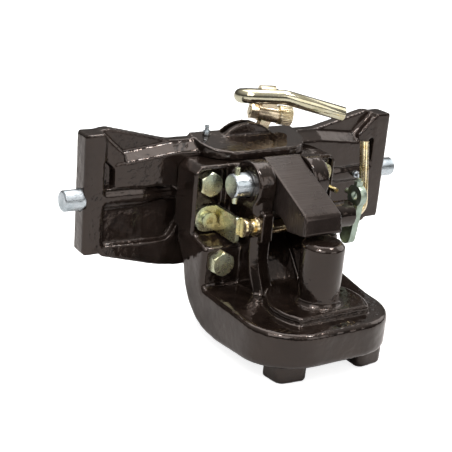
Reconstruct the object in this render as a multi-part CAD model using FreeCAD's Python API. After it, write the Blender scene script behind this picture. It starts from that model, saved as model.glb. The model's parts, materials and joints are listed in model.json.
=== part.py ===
import FreeCAD, Part
import math
import os

# Tow hitch carriage with a fixed coupling pin, in millimetres.
# Origin: axis of the coupling pin where it meets its seat. X runs along the
# carriage, Y from the pin towards the tractor, Z up.

V = FreeCAD.Vector

# Carriage between the two ladder rails
CARRIAGE_WIDTH = 390.0
GUIDE_DEPTH = 25.0
GUIDE_HEIGHT = 128.0
GUIDE_THICK = 22.0
GUIDE_BOTTOM = 19.0
GUIDE_CHAMFER = 2.5
FACE_Y = 143.5
BACK_Y = FACE_Y + GUIDE_DEPTH
BLOCK_BOTTOM = -6.0
RIDGE_DEPTH = 13.0
RIDGE_CROWN = 2.0
RIDGE_INNER_Z = 132.0
RIDGE_INNER_X = 95.0
RIDGE_INNER_RADIUS = 40.0
RIDGE_END_INSET = 8.0
RIDGE_END_RADIUS = 12.0
RIDGE_END_DROP = 1.0
RIDGE_MIDDLE_DROP = 0.5
BEAM_OUTER_X = 162.0
BEAM_OUTER_DROP = 34.0
BEAM_END_RADIUS = 2.0
BEAM_INNER_Z = 121.0
WING_LOW_X = 110.0
WING_LOW_Z = -2.0
WING_LOW_RADIUS = 60.0
WING_LOW_STEP = 3.0
BLOCK_CORNER = 30.0
RECESS_DEPTH = 9.0
RECESS_OUTER_DEPTH = 5.0
BEAM_BACK_RISE = 9.0
RECESS_TOP = 89.0
RECESS_BOTTOM = 25.0
RECESS_INNER_X = 84.0
RECESS_BULGE = 2.0
RECESS_TOP_DROP = 4.0
RECESS_TOP_RADIUS = 12.0
RECESS_BEND_DROP = 40.0
RECESS_BEND_RADIUS = 25.0
RECESS_LOW_INSET = 12.0
RECESS_LOW_RADIUS = 14.0
RECESS_LOW_RISE = 2.0
RECESS_TOP_RISE = 1.0
GUSSET_REACH = 23.0
GUSSET_RADIUS = 4.0
GUSSET_LOW_DROP = 4.0
GUSSET_RISE = 8.0

# Relief groove beside each guide's back face
BACK_GROOVE_X = 170.0
BACK_GROOVE_WIDTH = 3.0
BACK_GROOVE_DEPTH = 0.8

# Raised pad and arched lever guard on top of the carriage
PAD_HALF_WIDTH = 66.0
PAD_FRONT_Y = FACE_Y - 28.0
PAD_FRONT_Z = 125.0
PAD_BACK_Z = 135.5
PAD_CORNER = 34.0
PAD_EDGE_RADIUS = 5.0
GUARD_RADIUS = 43.0
GUARD_TOP_Z = 145.6
GUARD_FRONT_Y = FACE_Y + 7.0

# Locking pins, cam and lever
LOCK_PIN_DIAMETER = 22.0
LOCK_SHANK_DIAMETER = 22.4
LOCK_SHANK_PROUD = 0.6
LOCK_TIP_CHAMFER = 1.5
LOCK_PIN_REACH = 19.0
LOCK_PIN_LENGTH = 62.0
LOCK_PIN_Z = 76.8
LOCK_PIN_Y = FACE_Y + GUIDE_DEPTH / 2
LOCK_BOSS_RADIUS = 12.8
LOCK_BOSS_LENGTH = 44.0
BOSS_TAPER_LENGTH = 26.0
TAIL_BOSS_RADIUS = 8.5
TAIL_DIAMETER = 10.0
TAIL_FLAT_END = 7.0
PEG_DIAMETER = 8.0
PEG_RADIUS_AT_REST = 54.0
LEVER_LEAN = 22.0
LEVER_SWING = 40.0
CAM_THICK = 7.0
CAM_GAP = 0.6
CAM_HUB_RADIUS = 15.0
CAM_WALL = 4.2
CAM_PIVOT_DIAMETER = 14.0
CAM_BOSS_RADIUS = 11.0
CAVITY_FRONT_WALL = 6.5
CAVITY_RADIUS = 63.5
CAVITY_ROOF = 46.0
SHANK_WIDTH = 13.0
SHANK_LENGTH = 81.0
COVER_THICK = 4.0
COVER_RADIUS = 73.0
COVER_SCREW_RADIUS = 68.0
COVER_SCREW_DIAMETER = 6.0
COVER_SCREW_DEPTH = 9.0
COVER_SCREW_ANGLES = (-150, -90, -30)
COVER_LAND = 4.0
PIVOT_FRONT_WALL = 3.0
BORE_END_CLEAR = 2.0
SLOT_OVERRUN = 5.0
SLOT_SIDE_CLEAR = 2.0
SLOT_TOP_CLEAR = 1.0
SHANK_END = 7.0
PIVOT_HEAD_DIAMETER = 22.0
PIVOT_HEAD_THICK = 4.0

# Lever's stop screw
STOP_SCREW_X = 79.5
STOP_SCREW_Z = 81.0
STOP_SCREW_DIAMETER = 6.0
STOP_SCREW_LENGTH = 40.0

# Grease nipples
WING_NIPPLE_X = 150.0
WING_NIPPLE_DEPTH = 1.3
TOP_NIPPLE_DEPTH = 5.0
TOP_NIPPLE_X = -48.0
TOP_NIPPLE_INSET = 9.0
TOP_NIPPLE_RAISE = 0.9
TOP_NIPPLE_HOLE = 10.0
GREASE_PORT_DEPTH = 5.0
NIPPLE_STEM_RADIUS = 3.0

# Handle bar and its hub
BAR_DIAMETER = 16.0
BAR_TURN = 18.8
BAR_SPACING = 24.0
BAR_RISE = 4.5
BAR_BACK_RISE = 18.4981
BAR_BACK_OFFSET = 4.0
BAR_BACK_LENGTH = 32.0
BAR_STUB = 12.0
BAR_LEVEL_LENGTH = 34.0
BAR_SLOPE = 13.8
BAR_SLOPE_LENGTH = 70.0
BAR_KINK_RADIUS = 40.0
HUB_RADIUS = 11.5
HUB_LENGTH = 17.0
HUB_NECK = 13.0
CHEEK_LENGTH = 24.0
SCREW_TILT = 6.6
SCREW_DIAMETER = 10.0
SCREW_HEAD_DIAMETER = 21.5
SCREW_HEAD_LENGTH = 15.0
SCREW_NUT_FLATS = 16.0
SCREW_NUT_LENGTH = 9.0

# Hook body
HOOK_HALF_WIDTH = 88.0
FLANGE_HALF_WIDTH = 90.0
FLANGE_TOP = 116.5
FLANGE_THICK = 37.0
PAD_STEP_Z = 36.0
LOWER_PAD_Y = FACE_Y - 62.0
BASE_TOP = -8.0
BASE_BOTTOM = -55.0
NOSE_Y = -54.5
NOSE_BOTTOM = -45.0
NOSE_CORNER = 55.0
NOSE_RIGHT_X = 77.0
NOSE_RIGHT_CORNER = 52.0
TAPER_START_Y = 10.0
TAPER_START_RADIUS = 120.0
TAPER_END_SET_BACK = 14.0
TAPER_END_RADIUS = 60.0
BELLY_FRONT_Y = 50.0
BELLY_FRONT_RADIUS = 60.0
BELLY_BACK_Y = 112.0
BELLY_BACK_RISE = 2.0
BELLY_BACK_RADIUS = 62.0
NAPE_Y = 128.0
NAPE_Z = 8.0
NAPE_RADIUS = 40.0
NAPE_TOP_Z = 28.0
NAPE_TOP_RADIUS = 10.0
STEP_RISE = 6.0
STEP_RADIUS = 5.0
LOWER_PAD_RADIUS = 4.0
BASE_ROOT_RADIUS = 6.0
FLANGE_EDGE = 2.0
FLANGE_CORNER_RADIUS = 3.0
FLANGE_CORNER = 8.0
SEAT_RADIUS = 53.0
SEAT_FRONT = -32.0
SEAT_EDGE_RADIUS = 3.0
POCKET_DEPTH = 7.0
POCKET_RIM = 5.0
POCKET_INNER_X = 52.0
POCKET_TOP = 111.5
POCKET_BOTTOM = 42.0
POCKET_INNER_RADIUS = 4.0
POCKET_LOW_RADIUS = 8.0
POCKET_HIGH_RADIUS = 3.0
UPPER_BOLT_X = 70.5
UPPER_BOLT_Z = 96.3
LOWER_BOLT_X = 69.0
LOWER_BOLT_Z = 20.0
FOOT_X = 50.0
FOOT_WIDTH = 38.0
FOOT_Y = -26.0
FOOT_DEPTH = 30.0
FOOT_BOTTOM = -66.0
FOOT_ROOT_DEPTH = 15.0
FOOT_TAPER = 4.0
FOOT_INNER_RADIUS = 8.0
FOOT_OUTER_RADIUS = 10.0
FOOT_REAR_RADIUS = 4.0
FOOT_EDGE_RADIUS = 3.0
BASE_ROUND = 6.0
FLANK_ROUND = 8.0

# Coupling pin
PIN_DIAMETER = 44.0
PIN_TOP = 64.0
PIN_FOOT_FILLET = 6.0
PIN_CHAMFER = 4.0
SPIGOT_DIAMETER = 36.0
CLIP_THICK = 2.5
CLIP_RIM = 3.0
CLIP_RECESS = 8.0

# Ears, keeper and its pivot
EAR_INNER = 23.4
EAR_OUTER = 44.0
EAR_BOSS_RADIUS = 25.0
EAR_FRONT_Y = FACE_Y - 85.0
EAR_CHAMFER = 6.0
EAR_BEND_Z = 24.0
EAR_BEND_RADIUS = 60.0
EAR_FOOT_REACH = 16.0
EAR_BROW_RADIUS = 20.0
EAR_BROW_DROP = 6.0
EAR_TOP_SET_BACK = 8.0
EAR_TOP_RADIUS = 10.0
THROAT_BACK = 5.0
THROAT_BACK_Z = 50.0
THROAT_BACK_RADIUS = 12.0
THROAT_MID_Z = 22.0
THROAT_MID_RADIUS = 30.0
THROAT_LOW_RADIUS = 24.0
THROAT_RUN_OUT = 40.0
PIVOT_Y = FACE_Y - 63.0
PIVOT_Z = 102.0
PIVOT_DIAMETER = 25.0
PIVOT_LEFT_END = 63.0
PIVOT_RIGHT_END = 45.0
ROLL_PIN_DIAMETER = 6.0
ROLL_PIN_LENGTH = 38.0
ROLL_PIN_INSET = 6.5
KEEPER_HALF_WIDTH = 22.2
KEEPER_BUSH_WALL = 2.5
KEEPER_BUSH_LENGTH = 20.0
HEEL_RADIUS = 40.0
KEEPER_FRONT_Y = 0.5
KEEPER_LIP_SET_BACK = 4.7
KEEPER_LIP_TOP = 89.0
KEEPER_LIP_BOTTOM = 69.0

# Release shaft with bent handle
SHAFT_DIAMETER = 20.0
SHAFT_Y = FACE_Y - 78.0
SHAFT_Z = 61.8
SHAFT_HEAD_LENGTH = 5.5
SHAFT_NECK_DIAMETER = 14.0
SHAFT_BOSS_RADIUS = 15.0
SHAFT_BOSS_END = 82.5
LUG_INNER = 26.0
LUG_WIDTH = 13.0
LUG_HEIGHT = 32.0
LUG_WALL = 3.5
LEVER_THICK = 8.0
LEVER_EYE_RISE = 21.0
LEVER_EYE_RADIUS = 12.0
LEVER_EYE_BORE = 10.0
LEVER_EYE_FLAT = 11.0
EYE_SCREW_DIAMETER = 5.0
EYE_STOP_DIAMETER = 6.0
LEVER_ARM_DROP = 28.0
LEVER_ARM_RADIUS = 9.0
LEVER_TILT = 8.5
ROD_DIAMETER = 10.0
ROD_BEND_RADIUS = 11.0
ROD_X = 102.5
ROD_HEIGHT = 77.0
ROD_LEAN = 9.5

# Retaining bracket
BRACKET_THICK = 4.0
BRACKET_HEIGHT = 28.0
BRACKET_Z = 57.5
BRACKET_HOLE_X = 70.5
BRACKET_LEG_END_Y = FACE_Y - 75.0

# Fasteners
BOLT_DIAMETER = 16.0
BOLT_FLATS = 24.0
BOLT_HEAD = 10.0
BOLT_SPOT_RADIUS = 15.5
BOLT_HOLE_CLEARANCE = 1.5
BRACKET_SCREW_DIAMETER = 10.0
BRACKET_SCREW_HEAD = 17.0
BRACKET_SCREW_HEAD_LENGTH = 6.0

# Fits, and how far a piece to be fused or cut runs past its face
OVERLAP = 1.0
RUNNING = 0.05
CLEAR = 0.3

LOCK_TRAVEL_PER_RADIAN = LOCK_PIN_REACH / math.radians(LEVER_SWING)
TAIL_FLAT_Y = FACE_Y + CAVITY_FRONT_WALL + 1.0
CAM_Y = TAIL_FLAT_Y + TAIL_FLAT_END + CAM_GAP
SHANK_Y = CAM_Y + CAM_THICK / 2
HALF_CARRIAGE = CARRIAGE_WIDTH / 2
BOLT_PLACES = ((UPPER_BOLT_X, UPPER_BOLT_Z), (LOWER_BOLT_X, LOWER_BOLT_Z))
GUIDE_INNER = HALF_CARRIAGE - GUIDE_THICK
PIN_FOOT_RADIUS = PIN_DIAMETER / 2 + PIN_FOOT_FILLET
GUIDE_TOP = GUIDE_BOTTOM + GUIDE_HEIGHT
RIDGE_OUTER_Z = GUIDE_TOP + RIDGE_CROWN
BEAM_OUTER_Z = GUIDE_TOP - BEAM_OUTER_DROP
FLANGE_FRONT = FACE_Y - FLANGE_THICK
POCKET_FLOOR = FLANGE_FRONT + POCKET_DEPTH


def box(x0, x1, y0, y1, z0, z1):
    """Block between two corners."""
    return Part.makeBox(x1 - x0, y1 - y0, z1 - z0, V(x0, y0, z0))


def rod(radius, start, end):
    """Cylinder from one point to another."""
    line = end - start
    return Part.makeCylinder(radius, line.Length, start, line)


def rounded_wire(corners, place):
    """Closed outline through corners (u, v, radius), put in space by place(u, v)."""
    count = len(corners)
    joints = []
    for i in range(count):
        u, v, radius = corners[i]
        point = V(u, v, 0)
        before = (V(*corners[i - 1][:2], 0) - point).normalize()
        after = (V(*corners[(i + 1) % count][:2], 0) - point).normalize()
        if radius == 0:
            joints.append((point, None, point))
            continue
        half = before.getAngle(after) / 2
        reach = radius / math.tan(half)
        inward = (before + after).normalize()
        middle = point + inward * (radius / math.sin(half) - radius)
        joints.append((point + before * reach, middle, point + after * reach))
    edges = []
    for i in range(count):
        start, middle, end = joints[i]
        if middle is not None:
            arc = Part.Arc(place(start.x, start.y), place(middle.x, middle.y), place(end.x, end.y))
            edges.append(arc.toShape())
        following = joints[(i + 1) % count][0]
        if (following - end).Length > 1e-6:
            line = Part.LineSegment(place(end.x, end.y), place(following.x, following.y))
            edges.append(line.toShape())
    return Part.Wire(edges)


def plate_xz(corners, y0, y1):
    """Outline in the front view, between two depths."""
    face = Part.Face(rounded_wire(corners, lambda x, z: V(x, y0, z)))
    return face.extrude(V(0, y1 - y0, 0))


def plate_yz(corners, x0, x1):
    """Outline in the side view, between two stations along the carriage."""
    face = Part.Face(rounded_wire(corners, lambda y, z: V(x0, y, z)))
    return face.extrude(V(x1 - x0, 0, 0))


def plate_xy(corners, z0, z1):
    """Outline in the plan view, between two heights."""
    face = Part.Face(rounded_wire(corners, lambda x, y: V(x, y, z0)))
    return face.extrude(V(0, 0, z1 - z0))


def hexagon(flats, length, base, direction):
    """Hexagonal prism about an axis through base."""
    turn = FreeCAD.Rotation(V(0, 0, 1), direction)
    corner = flats / math.sqrt(3)
    points = []
    for i in range(7):
        angle = math.radians(60 * i + 30)
        points.append(V(corner * math.cos(angle), corner * math.sin(angle), 0))
    prism = Part.Face(Part.makePolygon(points)).extrude(V(0, 0, length))
    prism.Placement = FreeCAD.Placement(base, turn)
    return prism


def both_sides(shape):
    """The shape and its mirror image across the centre plane, fused."""
    return shape.fuse(shape.mirror(V(0, 0, 0), V(1, 0, 0)))


def pair(shape):
    """The shape and its mirror image as two separate solids."""
    return Part.makeCompound([shape, shape.mirror(V(0, 0, 0), V(1, 0, 0))])


def cam_point(radius, angle):
    """Point on the cam at a radius and an angle above +X, about the lever axis."""
    return V(radius * math.cos(angle), CAM_Y, LOCK_PIN_Z + radius * math.sin(angle))


def cam_slot(start_angle, half_width):
    """Spiral slot whose centre line moves in by the pin travel over the lever swing."""
    steps = 8
    swing = math.radians(LEVER_SWING)
    outer = []
    inner = []
    ends = []
    for i in range(steps + 1):
        turn = swing * i / steps
        radius = PEG_RADIUS_AT_REST - LOCK_TRAVEL_PER_RADIAN * turn
        along = V(-LOCK_TRAVEL_PER_RADIAN, 0, -radius).normalize()
        angle = start_angle - turn
        spin = FreeCAD.Rotation(V(0, -1, 0), math.degrees(angle))
        side = spin.multVec(V(along.z, 0, -along.x)) * half_width
        centre = cam_point(radius, angle)
        outer.append(centre - side)
        inner.append(centre + side)
        if i in (0, steps):
            tip = spin.multVec(along) * half_width
            ends.append(centre + (tip if i == steps else tip * -1))
    curves = []
    for points in (outer, inner):
        curve = Part.BSplineCurve()
        curve.interpolate(points)
        curves.append(curve.toShape())
    near = Part.Arc(inner[0], ends[0], outer[0]).toShape()
    far = Part.Arc(outer[-1], ends[1], inner[-1]).toShape()
    edges = Part.sortEdges([curves[0], far, curves[1], near])[0]
    return Part.Face(Part.Wire(edges)).extrude(V(0, CAM_THICK, 0))


def wing():
    """Right half of the casting: guide plate, ridge, beam, recess and lip."""
    guide = box(GUIDE_INNER, HALF_CARRIAGE, FACE_Y, BACK_Y, GUIDE_BOTTOM, GUIDE_TOP)
    corners = [e for e in guide.Edges if abs(e.BoundBox.XMin - HALF_CARRIAGE) < 0.01]
    guide = guide.makeChamfer(GUIDE_CHAMFER, corners)
    root = GUIDE_INNER + OVERLAP
    low = [
        (0, BLOCK_BOTTOM, 0),
        (RECESS_INNER_X, BLOCK_BOTTOM, BLOCK_CORNER),
        (WING_LOW_X, WING_LOW_Z, WING_LOW_RADIUS),
        (root, GUIDE_BOTTOM - WING_LOW_STEP, 0),
    ]
    ridge = low + [
        (root, RIDGE_OUTER_Z - RIDGE_END_DROP, 0),
        (GUIDE_INNER - RIDGE_END_INSET, RIDGE_OUTER_Z, RIDGE_END_RADIUS),
        (RIDGE_INNER_X, RIDGE_INNER_Z, RIDGE_INNER_RADIUS),
        (0, RIDGE_INNER_Z - RIDGE_MIDDLE_DROP, 0),
    ]
    back = plate_xz(ridge, BACK_Y - RIDGE_DEPTH, BACK_Y)
    beam = low + [
        (root, RECESS_TOP, 0),
        (BEAM_OUTER_X, RECESS_TOP, 0),
        (BEAM_OUTER_X, BEAM_OUTER_Z, BEAM_END_RADIUS),
        (RIDGE_INNER_X, BEAM_INNER_Z, RIDGE_INNER_RADIUS),
        (0, BEAM_INNER_Z, 0),
    ]
    raised = low + [
        (root, RECESS_TOP, 0),
        (BEAM_OUTER_X, RECESS_TOP, 0),
        (BEAM_OUTER_X, BEAM_OUTER_Z + BEAM_BACK_RISE, BEAM_END_RADIUS),
        (RIDGE_INNER_X, BEAM_INNER_Z + BEAM_BACK_RISE, RIDGE_INNER_RADIUS),
        (0, BEAM_INNER_Z + BEAM_BACK_RISE, 0),
    ]
    front = Part.makeLoft([
        rounded_wire(beam, lambda x, z: V(x, FACE_Y, z)),
        rounded_wire(raised, lambda x, z: V(x, BACK_Y - RIDGE_DEPTH, z)),
    ], True, True)
    inner = RECESS_INNER_X - RECESS_BULGE
    ahead = FACE_Y - OVERLAP
    recess = [
        (GUIDE_INNER, RECESS_TOP - RECESS_TOP_RISE, 0),
        (RECESS_INNER_X, RECESS_TOP - RECESS_TOP_DROP, RECESS_TOP_RADIUS),
        (inner, RECESS_TOP - RECESS_BEND_DROP, RECESS_BEND_RADIUS),
        (RECESS_INNER_X + RECESS_LOW_INSET, RECESS_BOTTOM, RECESS_LOW_RADIUS),
        (GUIDE_INNER, RECESS_BOTTOM + RECESS_LOW_RISE, 0),
    ]
    wedge = plate_xy(
        [
            (GUIDE_INNER, ahead, 0),
            (GUIDE_INNER, FACE_Y + RECESS_OUTER_DEPTH, 0),
            (inner, FACE_Y + RECESS_DEPTH, 0),
            (inner, ahead, 0),
        ],
        RECESS_BOTTOM - OVERLAP, RECESS_TOP + OVERLAP,
    )
    front = front.cut(plate_xz(recess, ahead, FACE_Y + RECESS_DEPTH + OVERLAP).common(wedge))
    gusset = [
        (root, GUIDE_TOP - OVERLAP, 0),
        (GUIDE_INNER - GUSSET_REACH, GUIDE_TOP - GUSSET_REACH - OVERLAP, GUSSET_RADIUS),
        (GUIDE_INNER - GUSSET_REACH, BEAM_OUTER_Z - GUSSET_LOW_DROP, 0),
        (BEAM_OUTER_X, BEAM_OUTER_Z - GUSSET_LOW_DROP, 0),
        (root, BEAM_OUTER_Z + GUSSET_RISE, 0),
    ]
    rib = plate_xz(gusset, FACE_Y + OVERLAP, BACK_Y - RIDGE_DEPTH)
    start = V(GUIDE_INNER - LOCK_BOSS_LENGTH, LOCK_PIN_Y, LOCK_PIN_Z)
    boss = rod(LOCK_BOSS_RADIUS, start, V(root, LOCK_PIN_Y, LOCK_PIN_Z))
    taper = Part.makeCone(
        LOCK_BOSS_RADIUS, TAIL_BOSS_RADIUS, BOSS_TAPER_LENGTH, start, V(-1, 0, 0),
    )
    tail = rod(TAIL_BOSS_RADIUS, V(inner - OVERLAP, LOCK_PIN_Y, LOCK_PIN_Z), start)
    boss = boss.fuse([taper, tail])
    boss = boss.common(box(0, HALF_CARRIAGE, FACE_Y - LOCK_BOSS_RADIUS, BACK_Y, 0, GUIDE_TOP))
    return guide.fuse([back, front, rib, boss])


def top_pad():
    """Raised oval pad that overhangs the hook flange, with a sloping top."""
    plan = [
        (-PAD_HALF_WIDTH, BACK_Y, 0),
        (-PAD_HALF_WIDTH, PAD_FRONT_Y, PAD_CORNER),
        (PAD_HALF_WIDTH, PAD_FRONT_Y, PAD_CORNER),
        (PAD_HALF_WIDTH, BACK_Y, 0),
    ]
    side = [
        (PAD_FRONT_Y - OVERLAP, PAD_FRONT_Z, PAD_EDGE_RADIUS),
        (BACK_Y, PAD_BACK_Z, 0),
        (BACK_Y, FLANGE_TOP, 0),
        (PAD_FRONT_Y - OVERLAP, FLANGE_TOP + CLEAR, 0),
    ]
    pad = plate_xy(plan, FLANGE_TOP + CLEAR, PAD_BACK_Z)
    return pad.common(plate_yz(side, -PAD_HALF_WIDTH, PAD_HALF_WIDTH))


def lever_guard():
    """Arched guard on the pad, in front of and behind the lever slot."""
    centre = V(0, GUARD_FRONT_Y, GUARD_TOP_Z - GUARD_RADIUS)
    arch = rod(GUARD_RADIUS, centre, V(0, BACK_Y, centre.z))
    keep = box(-GUARD_RADIUS, GUARD_RADIUS, GUARD_FRONT_Y, BACK_Y, BEAM_INNER_Z, GUARD_TOP_Z)
    return arch.common(keep)


def lever_slot():
    """Fan shaped slot that the lever shank swings in."""
    reach = GUARD_TOP_Z - LOCK_PIN_Z + SLOT_OVERRUN
    right = math.radians(LEVER_LEAN)
    left = math.radians(LEVER_LEAN - LEVER_SWING)
    spare = SHANK_WIDTH / 2 + SLOT_SIDE_CLEAR
    fan = [
        (-spare, LOCK_PIN_Z, 0),
        (spare, LOCK_PIN_Z, 0),
        (reach * math.tan(right) + spare + SLOT_TOP_CLEAR, LOCK_PIN_Z + reach, 0),
        (reach * math.tan(left) - spare - SLOT_TOP_CLEAR, LOCK_PIN_Z + reach, 0),
    ]
    return plate_xz(fan, CAM_Y - CAM_GAP, CAM_Y + CAM_THICK + CAM_GAP)


def cover_screw_places():
    """Centres of the rear cover's screws."""
    places = []
    for angle in COVER_SCREW_ANGLES:
        turn = math.radians(angle)
        x = COVER_SCREW_RADIUS * math.cos(turn)
        places.append(V(x, BACK_Y, LOCK_PIN_Z + COVER_SCREW_RADIUS * math.sin(turn)))
    return places


def carriage():
    """The casting that slides between the rails."""
    body = both_sides(wing()).fuse([top_pad(), lever_guard()])
    cavity = rod(
        CAVITY_RADIUS,
        V(0, FACE_Y + CAVITY_FRONT_WALL, LOCK_PIN_Z),
        V(0, BACK_Y, LOCK_PIN_Z),
    )
    reach = CAVITY_RADIUS + OVERLAP
    roof = box(-reach, reach, FACE_Y, BACK_Y, LOCK_PIN_Z - reach, LOCK_PIN_Z + CAVITY_ROOF)
    body = body.cut(cavity.common(roof)).cut(lever_slot())
    boss = rod(
        CAM_BOSS_RADIUS,
        V(0, FACE_Y + CAVITY_FRONT_WALL - OVERLAP, LOCK_PIN_Z),
        V(0, CAM_Y - CAM_GAP, LOCK_PIN_Z),
    )
    body = body.fuse(boss)
    pivot = rod(
        CAM_PIVOT_DIAMETER / 2,
        V(0, FACE_Y + PIVOT_FRONT_WALL, LOCK_PIN_Z),
        V(0, BACK_Y, LOCK_PIN_Z),
    )
    body = body.cut(pivot)
    pin_bore = LOCK_SHANK_DIAMETER / 2 + RUNNING
    inner = HALF_CARRIAGE - LOCK_PIN_LENGTH - BORE_END_CLEAR
    for side in (-1, 1):
        body = body.cut(rod(
            pin_bore,
            V(side * inner, LOCK_PIN_Y, LOCK_PIN_Z),
            V(side * HALF_CARRIAGE, LOCK_PIN_Y, LOCK_PIN_Z),
        ))
        body = body.cut(rod(
            TAIL_DIAMETER / 2 + CLEAR,
            V(side * PEG_RADIUS_AT_REST, LOCK_PIN_Y, LOCK_PIN_Z),
            V(side * HALF_CARRIAGE, LOCK_PIN_Y, LOCK_PIN_Z),
        ))
        for x, z in BOLT_PLACES:
            far = V(side * x, BACK_Y - OVERLAP, z)
            body = body.cut(rod(BOLT_DIAMETER / 2, V(side * x, FACE_Y, z), far))
    for place in cover_screw_places():
        body = body.cut(rod(COVER_SCREW_DIAMETER / 2, place - V(0, COVER_SCREW_DEPTH + OVERLAP, 0), place))
    for side in (-1, 1):
        ends = sorted((side * BACK_GROOVE_X, side * (BACK_GROOVE_X + BACK_GROOVE_WIDTH)))
        groove = box(*ends, BACK_Y - BACK_GROOVE_DEPTH, BACK_Y + OVERLAP, BLOCK_BOTTOM, RIDGE_OUTER_Z)
        body = body.cut(groove)
    grease = V(WING_NIPPLE_X, LOCK_PIN_Y - LOCK_BOSS_RADIUS, LOCK_PIN_Z)
    body = body.cut(rod(NIPPLE_STEM_RADIUS, grease, grease + V(0, GREASE_PORT_DEPTH, 0)))
    nipple = V(TOP_NIPPLE_X, BACK_Y - TOP_NIPPLE_INSET, PAD_BACK_Z)
    body = body.cut(rod(NIPPLE_STEM_RADIUS, nipple - V(0, 0, TOP_NIPPLE_HOLE), nipple))
    return body.removeSplitter()


def rear_cover():
    """Round plate that closes the cam cavity from behind."""
    z = LOCK_PIN_Z
    disc = rod(COVER_RADIUS, V(0, BACK_Y, z), V(0, BACK_Y + COVER_THICK, z))
    reach = COVER_RADIUS + OVERLAP
    keep = box(-reach, reach, BACK_Y, BACK_Y + COVER_THICK, z - reach, z + CAVITY_ROOF + COVER_LAND)
    disc = disc.common(keep)
    hole = rod(CAM_PIVOT_DIAMETER / 2, V(0, BACK_Y, z), V(0, BACK_Y + COVER_THICK, z))
    disc = disc.cut(hole)
    for place in cover_screw_places():
        disc = disc.cut(rod(COVER_SCREW_DIAMETER / 2, place, place + V(0, COVER_THICK, 0)))
    return disc


def cover_screws():
    """Cap screws of the rear cover."""
    screws = []
    for place in cover_screw_places():
        outer = place + V(0, COVER_THICK, 0)
        head = rod(COVER_SCREW_DIAMETER * 0.85, outer, outer + V(0, COVER_SCREW_DIAMETER * 0.7, 0))
        stem = rod(COVER_SCREW_DIAMETER / 2, place - V(0, COVER_SCREW_DEPTH, 0), outer)
        socket = hexagon(COVER_SCREW_DIAMETER * 0.8, 3, outer + V(0, 2, 0), V(0, 1, 0))
        screws.append(head.fuse(stem).cut(socket))
    return Part.makeCompound(screws)


def cam_pivot():
    """Shouldered pivot of the cam, put in from behind."""
    z = LOCK_PIN_Z
    seat = BACK_Y + COVER_THICK
    stem = rod(CAM_PIVOT_DIAMETER / 2, V(0, FACE_Y + PIVOT_FRONT_WALL, z), V(0, seat, z))
    head = rod(PIVOT_HEAD_DIAMETER / 2, V(0, seat, z), V(0, seat + PIVOT_HEAD_THICK, z))
    socket = hexagon(8, PIVOT_HEAD_THICK, V(0, seat + 1, z), V(0, 1, 0))
    return stem.fuse(head).cut(socket)


def lock_pin(side):
    """Locking pin with its tail, flattened at the inner end; side is -1 or +1."""
    tip = HALF_CARRIAGE + LOCK_PIN_REACH
    inner = tip - LOCK_PIN_LENGTH
    peg_x = PEG_RADIUS_AT_REST
    at = lambda x: V(side * x, LOCK_PIN_Y, LOCK_PIN_Z)
    body = rod(LOCK_PIN_DIAMETER / 2, at(inner), at(tip))
    shank = rod(LOCK_SHANK_DIAMETER / 2, at(inner), at(HALF_CARRIAGE + LOCK_SHANK_PROUD))
    end = max(body.Edges, key=lambda e: side * e.CenterOfMass.x)
    body = body.makeChamfer(LOCK_TIP_CHAMFER, [end])
    tail = rod(TAIL_DIAMETER / 2, at(peg_x - 6.5), at(inner))
    flat = CAVITY_RADIUS + LOCK_PIN_REACH + 2
    mill = box(-flat, flat, TAIL_FLAT_Y + TAIL_FLAT_END - 1, BACK_Y, 0, GUIDE_TOP)
    tail = tail.cut(mill)
    hole = rod(PEG_DIAMETER / 2, at(peg_x) - V(0, TAIL_DIAMETER, 0), at(peg_x) + V(0, TAIL_DIAMETER, 0))
    return body.fuse([shank, tail]).cut(hole)


def follower_peg(side):
    """Peg that joins a locking pin to the cam slot."""
    x = side * PEG_RADIUS_AT_REST
    return rod(
        PEG_DIAMETER / 2,
        V(x, TAIL_FLAT_Y + 0.5, LOCK_PIN_Z),
        V(x, CAM_Y + CAM_THICK + 0.5, LOCK_PIN_Z),
    )


def lever_axis_point(distance):
    """Point on the lever's centre line at a distance above its pivot."""
    lean = math.radians(LEVER_LEAN)
    return V(distance * math.sin(lean), SHANK_Y, LOCK_PIN_Z + distance * math.cos(lean))


def selector_cam():
    """Cam plate with two spiral slots and the lever shank."""
    far = PEG_RADIUS_AT_REST + PEG_DIAMETER / 2 + CAM_WALL
    arm = [
        (0, CAM_HUB_RADIUS, 0),
        (PEG_RADIUS_AT_REST - 12, PEG_DIAMETER / 2 + CAM_WALL + 2, 20),
        (far, PEG_DIAMETER / 2 + CAM_WALL, 7),
        (far, -8, 8),
        (38, -33, 9),
        (20, -31, 9),
        (0, -CAM_HUB_RADIUS, 0),
    ]
    z = LOCK_PIN_Z
    right = [(x, z + dz, r) for x, dz, r in arm]
    left = [(-x, z - dz, r) for x, dz, r in arm]
    plate = plate_xz(right, CAM_Y, CAM_Y + CAM_THICK)
    plate = plate.fuse(plate_xz(left, CAM_Y, CAM_Y + CAM_THICK))
    hub = rod(CAM_HUB_RADIUS, V(0, CAM_Y, z), V(0, CAM_Y + CAM_THICK, z))
    shank = box(
        -SHANK_WIDTH / 2, SHANK_WIDTH / 2, CAM_Y, CAM_Y + CAM_THICK, z, z + SHANK_LENGTH + SHANK_END,
    )
    shank.rotate(V(0, CAM_Y, z), V(0, 1, 0), LEVER_LEAN)
    plate = plate.fuse([hub, shank])
    slot_half = PEG_DIAMETER / 2 + RUNNING
    for start in (0.0, math.pi):
        plate = plate.cut(cam_slot(start, slot_half))
    bore = CAM_PIVOT_DIAMETER / 2 + RUNNING
    plate = plate.cut(rod(bore, V(0, CAM_Y, z), V(0, CAM_Y + CAM_THICK, z)))
    return plate.cut(clamp_hole())


def bar_direction():
    """Unit vector along the level part of the handle bar, towards its free end."""
    turn = math.radians(BAR_TURN)
    return V(math.cos(turn), -math.sin(turn), 0)


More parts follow.
